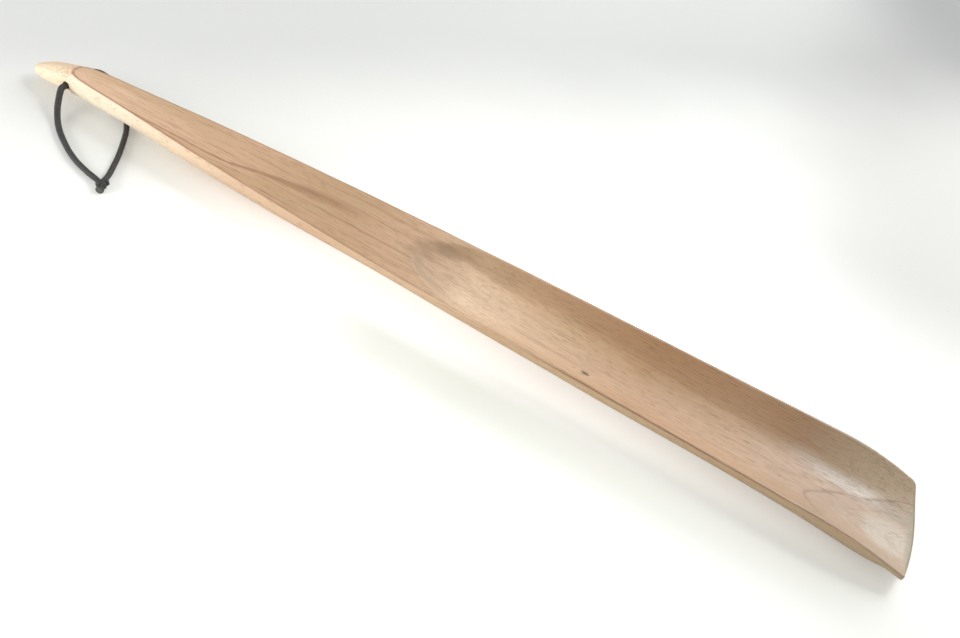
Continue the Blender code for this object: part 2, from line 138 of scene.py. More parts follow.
def lace_tube(name, points, radius, sides=20, uneven=0.035, closed=False, seed=0.0, thin=0.0):
    """A round tube along points, thinning along it, with its caps marked as cut ends."""
    rough_scale, full_thinning = 420, 1 / 1.4
    cap_width, cap_bulge = 0.72, 0.16
    mesh = bmesh.new()
    cut_layer = mesh.verts.layers.float.new("cut_end")
    count = len(points)
    ways = []
    for j in range(count):
        if closed:
            way = points[(j + 1) % count] - points[j - 1]
        else:
            way = points[min(j + 1, count - 1)] - points[max(j - 1, 0)]
        ways.append(way.normalized())
    side = ways[0].orthogonal().normalized()
    if abs(ways[0].z) < 0.9:
        side = ways[0].cross(Vector((0, 0, 1))).normalized()
    sides_at = []
    for way in ways:
        side = (side - way * side.dot(way)).normalized()
        sides_at.append(side)
    if closed:
        last = (sides_at[-1] - ways[0] * sides_at[-1].dot(ways[0])).normalized()
        gap = math.atan2(ways[0].dot(last.cross(sides_at[0])), last.dot(sides_at[0]))
    rings = []
    for j, (point, way, side) in enumerate(zip(points, ways, sides_at)):
        across = way.cross(side)
        turn = gap * j / count if closed else 0.0
        ring = []
        girth = radius * (1 - thin * min(j / (count - 1) / full_thinning, 1.0))
        for k in range(sides):
            angle = 2 * math.pi * k / sides + turn
            out = side * math.cos(angle) + across * math.sin(angle)
            spot = (point + out * radius * 2) * rough_scale + Vector((seed, 0, 0))
            rough = noise.noise(spot)
            ring.append(mesh.verts.new(point + out * girth * (1 + uneven * rough)))
        rings.append(ring)
    pairs = list(zip(range(count - 1), range(1, count)))
    if closed:
        pairs.append((count - 1, 0))
    for a, b in pairs:
        for k in range(sides):
            m = (k + 1) % sides
            face = mesh.faces.new((rings[a][k], rings[a][m], rings[b][m], rings[b][k]))
            face.smooth = True
    if not closed:
        for ring, point, way, sign in (
            (rings[0], points[0], ways[0], -1),
            (rings[-1], points[-1], ways[-1], 1),
        ):
            bulge = way * sign * radius * cap_bulge
            inner = [mesh.verts.new(point + (v.co - point) * cap_width + bulge) for v in ring]
            for vert in inner:
                vert[cut_layer] = 1.0
            for k in range(sides):
                m = (k + 1) % sides
                mesh.faces.new((ring[k], ring[m], inner[m], inner[k]))
            mesh.faces.new(inner)
    bmesh.ops.recalc_face_normals(mesh, faces=mesh.faces)
    data = bpy.data.meshes.new(name)
    mesh.to_mesh(data)
    mesh.free()
    return link(name, data)


near_points = smooth_path([Vector((NOSE_X + x, y, z)) for x, y, z in near_route], ROUTE_PITCH)
far_points = smooth_path([Vector((NOSE_X + x, y, z)) for x, y, z in far_route], ROUTE_PITCH)
near_strand = lace_tube("lace_near_strand", near_points, LACE / 2, seed=1.0, thin=0.14)
far_strand = lace_tube("lace_far_strand", far_points, LACE / 2, seed=2.0, thin=0.16)
bore_points = [
    Vector((NOSE_X + BORE_SETBACK, y, BORE_HEIGHT))
    for y in np.linspace(-LACE_IN_BORE / 2, LACE_IN_BORE / 2, 8)
]
bore_lace = lace_tube("lace_in_bore", bore_points, LACE / 2, seed=3.0)

# Knot
# The two ends are tied over each other: a small overhand knot, pulled tight, with both cut
# ends standing out of it.
KNOT_STEPS = 90
KNOT_LACE = 0.00172
TAIL_ROOT = -0.0011
low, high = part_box("cord_knot")
knot_centre = (low + high) / 2 + Vector((0.00035, -0.0004, 0))
knot_fall = Matrix.Rotation(math.radians(-70), 3, "Z")
turns = []
for j in range(KNOT_STEPS):
    t = 2 * math.pi * j / KNOT_STEPS
    flat = Vector(
        (
            (math.sin(t) + 2 * math.sin(2 * t)) * 0.00040,
            (math.cos(t) - 2 * math.cos(2 * t)) * 0.00036,
            -math.sin(3 * t) * 0.00080,
        )
    )
    turns.append(knot_centre + knot_fall @ flat)
knot = lace_tube("lace_knot", turns, KNOT_LACE / 2, sides=16, uneven=0.05, closed=True, seed=4.0)
tails = []
for label, way, shift, tip, girth, thin in (
    ("near", Vector((0.35, -0.94, 0.0)), Vector((0.0003, 0.0002, 0.0003)), 0.0004, 1.06, -0.14),
    ("far", Vector((0.74, 0.58, 0.35)), Vector((-0.0005, 0.0004, 0.0001)), 0.0001, 1.14, 0.20),
):
    low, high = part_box("cord_tail_" + label)
    middle = (low + high) / 2 + shift
    way.normalize()
    stops = [middle + way * s for s in np.linspace(TAIL_ROOT, tip, 6)]
    tails.append(lace_tube("lace_tail_" + label, stops, LACE / 2 * girth, seed=5.0, thin=thin))

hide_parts("cord_near_strand")
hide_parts("cord_far_strand")
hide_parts("cord_bore_stretch")
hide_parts("cord_knot")
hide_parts("cord_tail_near")
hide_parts("cord_tail_far")
for piece in (near_strand, far_strand, bore_lace, knot, *tails):
    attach(piece, "hang_loop")


# Horn
# One piece of wood: a board sawn to a tapering outline, rounded underneath, with a flat upper
# face and a channel for the heel. Every section is drawn with its arrises eased, as by hand
# sanding.
def curve_through(rows, at):
    """Heights of a smooth curve through rows of (place, value)."""
    places = np.array([row[0] for row in rows])
    values = np.array([row[1] for row in rows])
    slopes = np.zeros(len(rows))
    for i in range(len(rows)):
        a, b = max(i - 1, 0), min(i + 1, len(rows) - 1)
        slopes[i] = (values[b] - values[a]) / (places[b] - places[a])
    at = np.clip(at, places[0], places[-1])
    k = np.clip(np.searchsorted(places, at, side="right") - 1, 0, len(rows) - 2)
    span = places[k + 1] - places[k]
    t = (at - places[k]) / span
    rise = t * t * (3 - 2 * t)
    return (
        values[k] * (1 - rise)
        + values[k + 1] * rise
        + span * slopes[k] * t * (1 - t) ** 2
        - span * slopes[k + 1] * t * t * (1 - t)
    )


LENGTH = 0.343
BOARD = 0.012
flare = (
    (0.0458, 0.0), (0.1003, 0.072), (0.1548, 0.185), (0.2093, 0.297), (0.2638, 0.395),
    (0.3233, 0.487), (0.3778, 0.564), (0.4324, 0.626), (0.4869, 0.682), (0.5414, 0.735),
    (0.6009, 0.779), (0.6504, 0.81), (0.7099, 0.846), (0.7644, 0.88), (0.819, 0.913),
    (0.8735, 0.949), (0.923, 0.978), (0.9676, 1.0), (1.0, 0.985),
)
lift = (
    (0.0, 0.07), (0.055, 0.235), (0.1102, 0.25), (0.13, 0.237), (0.1548, 0.197),
    (0.1796, 0.145), (0.2093, 0.075), (0.2391, 0.025), (0.2787, 0.0), (0.3085, 0.03),
    (0.3382, 0.10), (0.3729, 0.205), (0.4026, 0.275), (0.4324, 0.285), (0.4621, 0.245),
    (0.5017, 0.19), (0.5612, 0.158), (0.6207, 0.145), (0.6802, 0.113), (0.7397, 0.12),
    (0.7892, 0.122), (0.8289, 0.093), (0.8685, 0.045), (0.9181, 0.0), (0.9429, 0.012),
    (0.9676, 0.085), (1.0, 0.16),
)
squareness = (
    (0.0, 2.4), (0.0755, 2.8), (0.1251, 2.5), (0.1697, 2.1), (0.2143, 1.75), (0.2738, 1.6),
    (0.3332, 1.65), (0.4026, 1.75), (0.472, 1.83), (0.5612, 1.9), (0.7, 1.95),
    (0.7991, 1.95), (0.8784, 2.05), (0.928, 2.3), (0.9627, 2.25), (0.9795, 1.7), (1.0, 1.5),
)
side_steps = ((0.0, 0.0), (0.0458, 0.0), (0.1647, 1.0), (0.3431, 1.0), (0.5612, 2.0), (1.0, 2.0))
depth_steps = (
    (0.0, 0.0), (0.03, 0.10), (0.07, 0.225), (0.12, 0.35), (0.19, 0.485), (0.29, 0.625),
    (0.42, 0.745), (0.55, 0.85), (0.68, 0.94), (0.79, 1.0), (1.0, 1.0),
)
TIP_HALF_WIDTH = 0.005
FLARE = 0.01755
TIP_HEIGHT = 0.0034
NOSE_ROUND = 0.0161
NEAR_CORNER = 0.0018
FAR_CORNER = 0.0032


def roundness(x):
    """The nose's rounding, from 0 at its point to 1 where the sides run on."""
    left = np.clip(1 - x / NOSE_ROUND, 0, 1)
    power = 2.3
    return (1 - left**power) ** (1 / power)


def half_width(x, corner=NEAR_CORNER):
    """Half the horn's width, with the rounding of one corner of the blade."""
    width = TIP_HALF_WIDTH + FLARE * curve_through(flare, x / LENGTH)
    past = np.clip(x - (LENGTH - corner), 0, corner)
    return width * roundness(x) - (corner - np.sqrt(np.clip(corner**2 - past**2, 0, None)))


def rim_height(x):
    """The height of the flat face: a little lower at the nose, and bent down at the edge."""
    nose_reach, nose_drop = 0.047, 0.0009
    edge_reach, edge_drop = 0.033, 0.006
    before = np.clip((nose_reach - x) / nose_reach, 0, 1)
    past = np.clip((x - (LENGTH - edge_reach)) / edge_reach, 0, None)
    return BOARD - nose_drop * before**2 - edge_drop * past**1.8


def blunt_tip(x):
    blunt_reach = 0.004
    return np.clip(1 - x / blunt_reach, 0, 1) ** 2


def back_height(x):
    """The height of the underside's middle."""
    height = BOARD * np.clip(curve_through(lift, x / LENGTH), 0, None)
    return TIP_HEIGHT + (height - TIP_HEIGHT) * roundness(x) - 0.0006 * blunt_tip(x)


CROWN_REACH = 0.0174
CROWN_POWER = 2.8


def crown_height(x):
    """The height that the round upper side would have, were it not cut flat."""
    power = 0.58 if x < CROWN_REACH else 0.85
    rise = ((x + 0.0009 * blunt_tip(x)) / CROWN_REACH) ** power
    return TIP_HEIGHT + (BOARD - TIP_HEIGHT) * rise


def side_height(x):
    """The height where a section is widest."""
    step = curve_through(side_steps, x / LENGTH)
    depth = 0.0037 - 0.0009 * np.clip(step, 0, 1) - 0.0020 * np.clip(step - 1, 0, 1)
    rise = np.minimum(x / NOSE_ROUND, 1.0) ** 0.65
    return TIP_HEIGHT + (rim_height(x) - depth - TIP_HEIGHT) * rise


CHANNEL_START = 0.1521
CHANNEL_MOUTH = 0.1522
CHANNEL_LENGTH = 0.1909
CHANNEL_DEPTH = 0.0088


def channel_width(x):
    """Half the channel's width, from its round start to the thin walls of the blade."""
    start_reach = 0.026
    t = np.clip((x - CHANNEL_START) / CHANNEL_LENGTH, 0, 1)
    wall = 0.0010 - 0.0002 * t * t * (3 - 2 * t)
    mouth = np.clip(1 - (x - CHANNEL_START) / start_reach, 0, 1)
    width = half_width(np.minimum(x, LENGTH - NEAR_CORNER)) - wall
    return width * np.sqrt(np.clip(1 - mouth**2, 0, 1))


def channel_height(x, y):
    """The channel's surface, which rises to the rim at its sides and thins the edge."""
    edge_reach = 0.040
    edge_level = BOARD * 0.16 + 0.0012
    depth = curve_through(depth_steps, (x - CHANNEL_START) / CHANNEL_LENGTH)
    floor = BOARD - CHANNEL_DEPTH * depth
    thin = np.clip((x - (LENGTH - edge_reach)) / edge_reach, 0, 1)
    floor = floor + (edge_level - floor) * thin**2
    share = np.minimum(np.abs(y) / np.maximum(channel_width(x), 1e-5), 8)
    clear_above = 1.0
    return np.where(x > CHANNEL_MOUTH, floor + (rim_height(x) - floor) * share**2.3, clear_above)


def pulled_back(x, share):
    """The place along the horn, drawn back towards the blade's corners."""
    reach, drawn = 0.045, 0.003
    along = np.clip((x - (LENGTH - reach)) / reach, 0, 1)
    return x - drawn * along * along * (3 - 2 * along) * share**2


def crown_share(share):
    """How high the round upper side is at a share of its width, or the other way round."""
    return np.clip(1 - share**CROWN_POWER, 0, 1) ** (1 / CROWN_POWER)


def bell(distance, reach):
    return np.exp(-((distance / reach) ** 2))


ARCH_END = 0.0172
UNDER_POINTS = 22


def horn_section(x, corner):
    """Half of a section, from the underside's middle, over one side, to the top's middle.

    Each row is a point and two marks, of the dark line at the arris and of the upper face.
    """
    width, level = half_width(x, corner), side_height(x)
    drop = level - back_height(x)
    power = curve_through(squareness, x / LENGTH)
    crown = crown_height(x) - level
    turn = np.linspace(0, 1, UNDER_POINTS)
    share = np.sin(np.pi / 2 * (turn + 0.10 * np.sin(np.pi * turn)))
    share[-1] = 1.0
    low = level - drop * np.clip(1 - share**power, 0, 1) ** (1 / power)
    under = np.stack([pulled_back(x, share), width * share, low], 1)
    open_share = np.clip((rim_height(x) - level) / crown, 0, 1)
    narrowest = 0.35
    arris = max(crown_share(open_share), narrowest)
    climb = crown_share(arris) * np.array([0.18, 0.40, 0.62, 0.80, 0.92, 0.975, 1.0])
    climb_share = crown_share(climb)
    edge = min(max(channel_width(x) / width, narrowest * arris), arris - 0.01)
    rim_steps = (0.02, 0.06, 0.14, 0.28, 0.46, 0.64, 0.82, 0.93, 1.0)
    across = [arris + (edge - arris) * s for s in rim_steps]
    across += [edge * (1 - s) for s in (0.012, 0.026, 0.042, 0.062, 0.088)]
    across += [edge * (1 - s) for s in np.linspace(0.125, 1.0, 19)]
    share = np.concatenate([climb_share, np.array(across)])
    across_x = pulled_back(x, share)
    y = width * share
    shell = level + crown * crown_share(share)
    flat = rim_height(across_x)
    hollow = channel_height(across_x, y)
    top = np.minimum(np.minimum(shell, flat), hollow)
    face = np.clip((shell - np.minimum(flat, hollow)) / 0.00012 + 0.5, 0, 1)
    from_edge = y - arris * width
    if x < CHANNEL_MOUTH:
        on_edge = bell(np.clip(flat - shell, 0, None), 0.00028)
        line = bell(shell - flat, 0.00016)
        if x > ARCH_END:
            line = np.maximum(line, on_edge * bell(from_edge + 0.00005, 0.00042))
    else:
        on_edge = bell(np.clip(flat - shell, 0, None), 0.00042)
        line = on_edge * bell(from_edge + 0.00012, 0.00036)
    over = np.stack([across_x, y, top], 1)
    marks = np.concatenate([np.zeros((UNDER_POINTS, 2)), np.stack([line, face], 1)])
    return np.concatenate([np.concatenate([under, over]), marks], 1)


def eased(ring, reach):
    """The closed section with its corners rounded over a short reach."""
    closed = np.concatenate([ring, ring[:1]])
    steps = np.linalg.norm(np.diff(closed, axis=0), axis=1)
    travelled = np.concatenate([[0], np.cumsum(steps)])
    total = travelled[-1]
    least_girth, step = 0.004, 0.00005
    if total < least_girth:
        return ring
    fine = np.linspace(0, total, max(int(total / step), 60), endpoint=False)
    dense = np.stack([np.interp(fine, travelled, closed[:, i]) for i in range(3)], 1)
    half = max(int(reach / (fine[1] - fine[0]) / 2), 1)
    weights = np.hanning(2 * half + 3)[1:-1]
    weights /= weights.sum()
    padded = np.concatenate([dense[-half:], dense, dense[:half]])
    soft = np.stack([np.convolve(padded[:, i], weights, "valid") for i in range(3)], 1)
    soft = np.concatenate([soft, soft[:1]])
    fine = np.concatenate([fine, [total]])
    return np.stack([np.interp(travelled[:-1], fine, soft[:, i]) for i in range(3)], 1)


def worn(x, y, z):
    """A point drawn in a little, unevenly, as scraped and sanded wood is."""
    slow = noise.noise((x * 55, y * 170, z * 170))
    quick = noise.noise((x * 190 + 7, y * 420, z * 420))
    depth = 0.00005 * (1 + slow) + 0.000014 * (1 + quick)
    nose = max(1 - x / 0.030, 0)
    depth += 0.00006 * nose * (1 + noise.noise((x * 420, y * 420, z * 420)))
    side = min(abs(y) / 0.004, 1.0)
    return y - math.copysign(depth * side, y), z - depth * (1 if z > 0.008 else -0.3)


LIP = 0.0009
UPPER_POINTS = 38
stations = list(NOSE_ROUND * (1 - np.cos(np.pi / 2 * np.linspace(0.06, 1, 46))))
for start, stop, pitch in (
    (0.0165, 0.030, 0.0004),
    (0.0305, 0.048, 0.0008),
    (0.049, 0.152, 0.0013),
    (0.1523, 0.180, 0.0006),
    (0.181, 0.333, 0.0012),
    (0.3335, 0.3418, 0.0005),
):
    stations += list(np.arange(start, stop, pitch))
stations += list(LENGTH - LIP * np.array([1.2, 1.0, 0.8, 0.6, 0.42, 0.27, 0.15, 0.06, 0.015]))
ease_places = (0, 0.004, 0.012, 0.0168, 0.15, 0.2)
ease_reaches = (0.0003, 0.001, 0.0013, 0.0004, 0.0005, 0.0006)
unworn_tip = 0.0008
mesh = bmesh.new()
line_layer = mesh.verts.layers.float.new("rim_line")
face_layer = mesh.verts.layers.float.new("top_face")
rings = []
for x in stations:
    x = float(x)
    far_half, near_half = horn_section(x, FAR_CORNER), horn_section(x, NEAR_CORNER)
    half_count = len(far_half)
    near_side = near_half[::-1][1:-1] * np.array([1, -1, 1, 1, 1])
    full = np.concatenate([far_half, near_side])
    full[:, :3] = eased(full[:, :3], float(np.interp(x, ease_places, ease_reaches)))
    closing = max(x - (LENGTH - LIP), 0) / LIP
    if closing > 0:
        far_order = list(range(half_count))
        near_order = [0, *range(len(full) - 1, half_count - 2, -1)]
        for part, order in (
            (slice(0, half_count), far_order),
            (slice(half_count, len(full)), near_order),
        ):
            out, height = np.abs(full[order, 1]), full[order, 2]
            at = np.abs(full[part, 1])
            lower = np.interp(at, out[:UNDER_POINTS], height[:UNDER_POINTS])
            upper = np.interp(at, out[::-1][:UPPER_POINTS], height[::-1][:UPPER_POINTS])
            centre = (upper + lower) / 2
            full[part, 2] = centre + (full[part, 2] - centre) * math.sqrt(1 - closing**2)
    ring = []
    for px, py, pz, line, face in full:
        py, pz = worn(px, py, pz) if closing == 0 and x > unworn_tip else (py, pz)
        vert = mesh.verts.new((NOSE_X + px, py, max(pz, 0.0)))
        vert[line_layer] = line
        vert[face_layer] = face
        ring.append(vert)
    rings.append(ring)
size = len(rings[0])
for a, b in zip(rings, rings[1:]):
    for k in range(size):
        m = (k + 1) % size
        face = mesh.faces.new((a[k], a[m], b[m], b[k]))
        face.smooth = True
point = mesh.verts.new((NOSE_X, 0, TIP_HEIGHT))
for k in range(size):
    face = mesh.faces.new((point, rings[0][(k + 1) % size], rings[0][k]))
    face.smooth = True
last = rings[-1]
for side in (1, -1):
    under = [last[side * k % size] for k in range(UNDER_POINTS)]
    over = [last[side * k % size] for k in range(half_count - 1, UNDER_POINTS - 2, -1)]
    a = b = 0
    while a < len(under) - 1 or b < len(over) - 1:
        next_under = abs(under[a + 1].co.y) if a < len(under) - 1 else math.inf
        next_over = abs(over[b + 1].co.y) if b < len(over) - 1 else math.inf
        if next_under < next_over:
            corners = (under[a], under[a + 1], over[b])
            a += 1
        else:
            corners = (under[a], over[b + 1], over[b])
            b += 1
        if len(set(corners)) == 3:
            mesh.faces.new(corners).smooth = True
bmesh.ops.recalc_face_normals(mesh, faces=mesh.faces)
data = bpy.data.meshes.new("horn")
mesh.to_mesh(data)
mesh.free()
horn = link("horn", data)

bore_radius = 0.0014
bore = bmesh.new()
bmesh.ops.create_cone(
    bore, cap_ends=True, segments=40, radius1=bore_radius, radius2=bore_radius, depth=0.016
)
bore_data = bpy.data.meshes.new("bore")
bore.to_mesh(bore_data)
bore.free()
bore_cutter = link("bore", bore_data)
bore_cutter.location = (NOSE_X + BORE_SETBACK, 0, BORE_HEIGHT)
bore_cutter.rotation_euler = (math.pi / 2, 0, 0)
cut = horn.modifiers.new("bore", "BOOLEAN")
cut.operation = "DIFFERENCE"
cut.solver = "EXACT"
cut.object = bore_cutter
bpy.ops.object.select_all(action="DESELECT")
horn.select_set(True)
bpy.context.view_layer.objects.active = horn
bpy.ops.object.modifier_apply(modifier="bore")
bpy.data.objects.remove(bore_cutter, do_unlink=True)
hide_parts("horn_body")
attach(horn, "horn")


# Wood
# Pale, close-grained wood under a thin satin oil: warm tan with pinkish and olive drifts along
# the grain, short fine pores, a few darker growth lines, and a small dark pin knot.
class Shader:
    """Adds nodes to one material, each placed beside the last."""

    def __init__(self, name):
        self.material = bpy.data.materials.new(name)
        self.material.use_nodes = True
        self.tree = self.material.node_tree
        self.surface = self.tree.nodes["Principled BSDF"]
        self.column = -400

    def node(self, kind, **settings):
        made = self.tree.nodes.new(kind)
        self.column -= 30
        made.location = (self.column, 0)
        for key, value in settings.items():
            setattr(made, key, value)
        return made

    def feed(self, socket, value):
        if isinstance(value, bpy.types.NodeSocket):
            self.tree.links.new(value, socket)
        else:
            socket.default_value = value

    def mark(self, name):
        """The share that a piece's own vertex layer gives."""
        return self.node("ShaderNodeAttribute", attribute_name=name).outputs["Fac"]

    def math(self, operation, a, b=0.0, c=0.0):
        made = self.node("ShaderNodeMath", operation=operation)
        for socket, value in zip(made.inputs, (a, b, c)):
            self.feed(socket, value)
        return made.outputs[0]

    def product(self, first, *others):
        for other in others:
            first = self.math("MULTIPLY", first, other)
        return first

    def fit(self, value, low, high, out_low=0.0, out_high=1.0, smooth=True):
        made = self.node("ShaderNodeMapRange")
        made.interpolation_type = "SMOOTHSTEP" if smooth else "LINEAR"
        for socket, entry in zip(made.inputs, (value, low, high, out_low, out_high)):
            self.feed(socket, entry)
        return made.outputs[0]

    def noise(self, vector, scale, detail, roughness, distortion=0.0):
        made = self.node("ShaderNodeTexNoise")
        self.feed(made.inputs["Vector"], vector)
        made.inputs["Scale"].default_value = scale
        made.inputs["Detail"].default_value = detail
        made.inputs["Roughness"].default_value = roughness
        made.inputs["Distortion"].default_value = distortion
        return made.outputs["Fac"]

    def grain(self, vector, scales, shift, detail, roughness, distortion=0.0):
        """Noise of its own scale along each axis, shifted so that no two layers match."""
        made = self.node("ShaderNodeMapping")
        self.feed(made.inputs["Vector"], vector)
        made.inputs["Location"].default_value = (shift, 0, 0)
        made.inputs["Scale"].default_value = scales
        return self.noise(made.outputs[0], 1.0, detail, roughness, distortion)

    def ramp(self, value, stops):
        made = self.node("ShaderNodeValToRGB")
        self.feed(made.inputs[0], value)
        while len(made.color_ramp.elements) < len(stops):
            made.color_ramp.elements.new(0.5)
        for element, (place, colour) in zip(made.color_ramp.elements, stops):
            element.position = place
            element.color = (*colour, 1)
        return made.outputs[0]

    def mix(self, share, a, b):
        made = self.node("ShaderNodeMix", data_type="RGBA")
        self.feed(made.inputs["Factor"], share)
        self.feed(made.inputs["A"], a if isinstance(a, bpy.types.NodeSocket) else (*a, 1))
        self.feed(made.inputs["B"], b if isinstance(b, bpy.types.NodeSocket) else (*b, 1))
        return made.outputs["Result"]

    def curve(self, value, span, heights, rows, handle="AUTO"):
        """A drawn line's height, between two heights, at a value within the span."""
        low, high = span
        bottom, top = heights
        made = self.node("ShaderNodeFloatCurve")
        self.feed(made.inputs["Value"], self.fit(value, low, high, smooth=False))
        line = made.mapping.curves[0]
        while len(line.points) < len(rows):
            line.points.new(0.5, 0.5)
        for spot, (x, y) in zip(line.points, rows):
            spot.location = ((x - low) / (high - low), (y - bottom) / (top - bottom))
            spot.handle_type = handle
        made.mapping.update()
        return self.math("MULTIPLY_ADD", made.outputs[0], top - bottom, bottom)

    def patch(self, along, across, spot, size, wobble, ragged):
        """The squared distance from a spot, 1 at its ragged edge."""
        a = self.math("MULTIPLY_ADD", along, 1 / size[0], -spot[0] / size[0])
        b = self.math("MULTIPLY_ADD", across, 1 / size[1], -spot[1] / size[1])
        square = self.math("MULTIPLY_ADD", a, a, self.math("MULTIPLY", b, b))
        return self.math("MULTIPLY_ADD", wobble, ragged, square)

    def relief(self, height, strength, distance):
        """Bumps the surface by a height."""
        made = self.node("ShaderNodeBump")
        made.inputs["Strength"].default_value = strength
        made.inputs["Distance"].default_value = distance
        self.feed(made.inputs["Height"], height)
        self.feed(self.surface.inputs["Normal"], made.outputs[0])

    def dress(self, *pieces):
        for piece in pieces:
            piece.data.materials.clear()
            piece.data.materials.append(self.material)


def tone(red, green, blue):
    """A colour written as it is seen, for a shader's socket."""
    return tuple(
        c / 12.92 if c <= 0.04045 else ((c + 0.055) / 1.055) ** 2.4
        for c in (red / 255, green / 255, blue / 255)
    )


wood = Shader("horn_wood")
place = wood.node("ShaderNodeTexCoord").outputs["Object"]
split = wood.node("ShaderNodeSeparateXYZ")
wood.feed(split.inputs[0], place)
along = wood.math("SUBTRACT", split.outputs[0], NOSE_X)
across = split.outputs[1]
face_mark = wood.fit(wood.mark("top_face"), 0.50, 0.92)
line_mark = wood.mark("rim_line")

drift = wood.grain(place, (11, 70, 80), 0.3, 3.0, 0.5, 0.4)
olive = wood.grain(place, (15, 60, 60), 4.1, 3.0, 0.5, 0.3)
bands = wood.grain(place, (7, 230, 300), 1.7, 5.0, 0.62, 0.7)
streaks = wood.grain(place, (16, 700, 800), 2.9, 4.0, 0.65, 0.3)
pores = wood.grain(place, (230, 2700, 2700), 0.0, 2.0, 0.5)
fine = wood.grain(place, (120, 1900, 1900), 0.0, 4.0, 0.7)
ragged = wood.grain(place, (90, 420, 420), 5.3, 4.0, 0.6)
wobble = wood.math("SUBTRACT", ragged, 0.5)

# Tones along the top. The pale stop just past the channel's start is painted light on the lit
# slope of the hollow.
colour = wood.ramp(
    wood.fit(along, 0.0, LENGTH, smooth=False),
    (
        (0.04, tone(250, 214, 182)),
        (0.12, tone(240, 202, 170)),
        (0.21, tone(224, 184, 150)),
        (0.38, tone(205, 164, 128)),
        (0.455, tone(205, 168, 131)),
        (0.486, tone(207, 172, 136)),
        (0.512, tone(235, 202, 166)),
        (0.57, tone(225, 189, 151)),
        (0.70, tone(196, 156, 114)),
        (0.81, tone(201, 167, 134)),
        (0.885, tone(177, 151, 124)),
        (0.98, tone(178, 162, 143)),
    ),
)
colour = wood.mix(wood.fit(drift, 0.42, 0.66, 0.0, 0.40), colour, tone(214, 172, 138))
colour = wood.mix(wood.fit(olive, 0.46, 0.68, 0.0, 0.42), colour, tone(186, 156, 112))
calm = wood.fit(along, 0.03, 0.12, 0.28, 1.0)
band_mask = wood.product(wood.fit(bands, 0.50, 0.70, 0.0, 0.40), calm)
colour = wood.mix(band_mask, colour, tone(170, 128, 90))
on_handle = wood.product(wood.fit(along, 0.15, 0.19, 1.0, 0.45), calm)
streak_mask = wood.product(wood.fit(streaks, 0.54, 0.70, 0.0, 0.50), on_handle)
colour = wood.mix(streak_mask, colour, tone(158, 112, 80))

# The handle's dark streak, which runs into a reddish patch
WITHIN_WIDTH = (-0.025, 0.025)
streak_line = wood.curve(
    along,
    (0.04, 0.15),
    WITHIN_WIDTH,
    (
        (0.04, -0.0072),
        (0.062, -0.0067),
        (0.080, -0.0063),
        (0.0936, -0.0032),
        (0.107, 0.0),
        (0.120, 0.0016),
        (0.135, 0.0022),
        (0.15, 0.0012),
    ),
)
off_line = wood.math("SUBTRACT", wood.math("MULTIPLY_ADD", wobble, 0.0030, across), streak_line)
reach = wood.fit(along, 0.085, 0.120, 0.0010, 0.0038)
streak = wood.product(
    wood.fit(wood.math("ABSOLUTE", off_line), 0.0, reach, 1.0, 0.0),
    wood.fit(along, 0.030, 0.046),
    wood.fit(along, 0.118, 0.138, 1.0, 0.0),
    0.68,
)
colour = wood.mix(streak, colour, tone(156, 108, 74))

# Painted shade round the channel's start, where the hollow drops in, and the mottled grain there
bow = wood.patch(along, across, (0.1800, 0.0), (0.0290, 0.0150), wobble, 0.9)
start_arc_shade = wood.product(
    wood.fit(bow, 0.30, 0.75),
    wood.fit(bow, 0.78, 1.25, 1.0, 0.0),
    wood.fit(along, 0.158, 0.178, 1.0, 0.0),
    wood.fit(across, -0.012, 0.008, 0.38, 0.66),
)
colour = wood.mix(start_arc_shade, colour, tone(150, 118, 80))
start_hollow_shade = wood.patch(along, across, (0.1622, 0.0084), (0.0060, 0.0032), wobble, 2.8)
colour = wood.mix(wood.fit(start_hollow_shade, 0.0, 1.2, 0.38, 0.0), colour, tone(126, 99, 70))
start_bank_shade = wood.product(
    wood.fit(wood.math("MULTIPLY_ADD", wobble, 0.0024, across), 0.0074, 0.0096),
    wood.fit(along, 0.158, 0.172, 0.0, 0.46),
    wood.fit(along, 0.181, 0.203, 1.0, 0.0),
)
colour = wood.mix(start_bank_shade, colour, tone(164, 132, 92))
mottle = wood.grain(place, (300, 700, 700), 8.3, 4.0, 0.65, 1.2)
in_scoop = wood.product(wood.fit(along, 0.150, 0.160), wood.fit(along, 0.185, 0.215, 1.0, 0.0))
mottle = wood.product(wood.fit(mottle, 0.46, 0.66, 0.0, 0.34), in_scoop)
colour = wood.mix(mottle, colour, tone(170, 134, 98))

# The far wall's brown, partly heartwood and partly painted shade where the wall faces away from
# the light, paler at the blade's corner
wall = wood.product(
    wood.fit(wood.math("MULTIPLY_ADD", wobble, 0.0035, across), 0.0088, 0.0128),
    wood.fit(along, 0.175, 0.205),
    wood.fit(along, 0.295, 0.325, 1.0, 0.10),
    0.40,
)
colour = wood.mix(wall, colour, tone(160, 116, 78))
corner = wood.product(wood.fit(along, 0.292, 0.334), wood.fit(across, 0.004, 0.010, 0.0, 0.88))
colour = wood.mix(corner, colour, tone(204, 184, 158))

# The place of the growth lines that meet in a point near the blade's edge, and the tones on
# each side of them
front = wood.curve(
    across,
    (-0.0225, 0.0225),
    (0.30, 0.35),
    (
        (-0.0225, 0.3210),
        (-0.0154, 0.3114),
        (-0.0127, 0.3090),
        (-0.0104, 0.3070),
        (-0.0074, 0.3048),
        (-0.0055, 0.3041),
        (-0.0042, 0.3045),
        (-0.0008, 0.3092),
        (0.0032, 0.3158),
        (0.0054, 0.3226),
        (0.0088, 0.3292),
        (0.0123, 0.3358),
        (0.0160, 0.3450),
        (0.0225, 0.3500),
    ),
    "AUTO_CLAMPED",
)
past = wood.math("MULTIPLY_ADD", wobble, 0.0012, wood.math("SUBTRACT", along, front))
inside = wood.fit(past, -0.0004, 0.0010)
heart = wood.product(
    wood.fit(past, -0.0030, -0.0002, 1.0, 0.0),
    wood.fit(across, 0.0015, 0.0060),
    wood.fit(along, 0.300, 0.320),
    0.20,
)
colour = wood.mix(heart, colour, tone(158, 130, 98))
